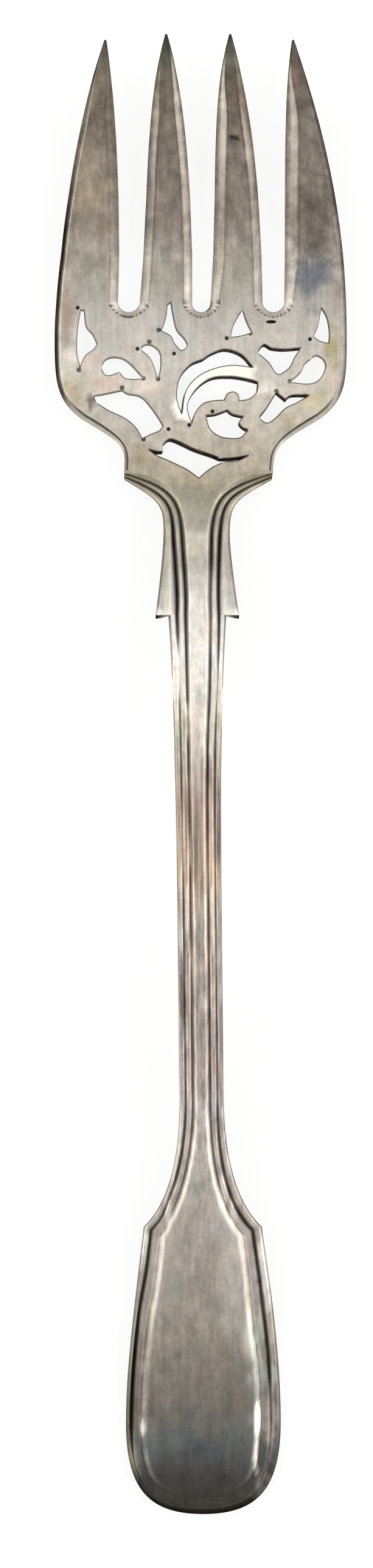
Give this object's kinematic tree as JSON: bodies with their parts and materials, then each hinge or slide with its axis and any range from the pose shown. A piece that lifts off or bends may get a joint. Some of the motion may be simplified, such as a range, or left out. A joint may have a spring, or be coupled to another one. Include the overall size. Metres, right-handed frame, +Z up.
{
  "type": "fish serving fork",
  "caption": "Silver fish serving fork with a broad pierced scroll head, pointed tines and a threaded fiddle handle.",
  "frame": {"origin": "middle of the fork's length and width, on the table that it lies on", "axes": "+Y along the fork towards the tine tips, +X to the right seen from the front, +Z up out of the front face"},
  "size_m": [0.0494, 0.25, 0.015],
  "materials": {
    "head_silver": "worn satin silver with brown tarnish in the cuts",
    "handle_silver": "worn soft polish with dark tarnish in the threads",
    "hard_solder": "dull hand-filed solder"
  },
  "bodies": {
    "root": {"pierced_head": "head_silver", "handle": "handle_silver", "solder_seam": "hard_solder"}
  },
  "joints": []
}
